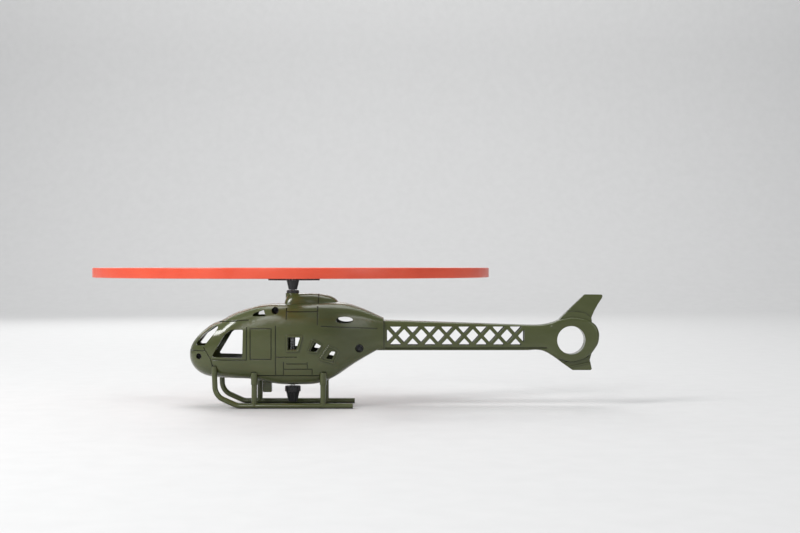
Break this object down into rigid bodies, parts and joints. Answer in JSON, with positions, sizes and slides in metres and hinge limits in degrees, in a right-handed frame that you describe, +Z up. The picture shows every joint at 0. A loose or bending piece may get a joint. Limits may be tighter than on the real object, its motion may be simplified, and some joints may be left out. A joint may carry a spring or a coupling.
{
  "type": "toy helicopter",
  "caption": "Toy helicopter in two half shells on skids, with a lattice tail boom, a shrouded tail and a lift-off ring rotor on a driven mast.",
  "frame": {"origin": "middle of the whole toy's footprint, on the surface that the skids stand on", "axes": "+Z up along the mast, +X from the nose to the tail, +Y to the helicopter's right"},
  "size_m": [0.3227, 0.25, 0.0883],
  "materials": {
    "olive_plastic": "semi-gloss moulded",
    "orange_plastic": "satin moulded",
    "black_plastic": "moulded",
    "steel": "plain"
  },
  "bodies": {
    "airframe": {"fuselage_left": "olive_plastic", "fuselage_right": "olive_plastic", "skid_left": "olive_plastic", "skid_right": "olive_plastic", "mast_bush": "black_plastic", "shell_screws": "steel"},
    "drive": {"mast": "steel", "rotor_hub": "black_plastic", "drive_plug": "black_plastic"},
    "rotor": {"ring_rotor": "orange_plastic"}
  },
  "joints": [
    {"name": "mast_spin", "type": "hinge", "parent": "airframe", "child": "drive", "pos_m": [-0.0365, 0, 0.07], "axis": [0, 0, 1], "continuous": true},
    {"name": "rotor_lift", "type": "slide", "parent": "drive", "child": "rotor", "axis": [0, 0, 1], "range_m": [0, 0.04]}
  ]
}
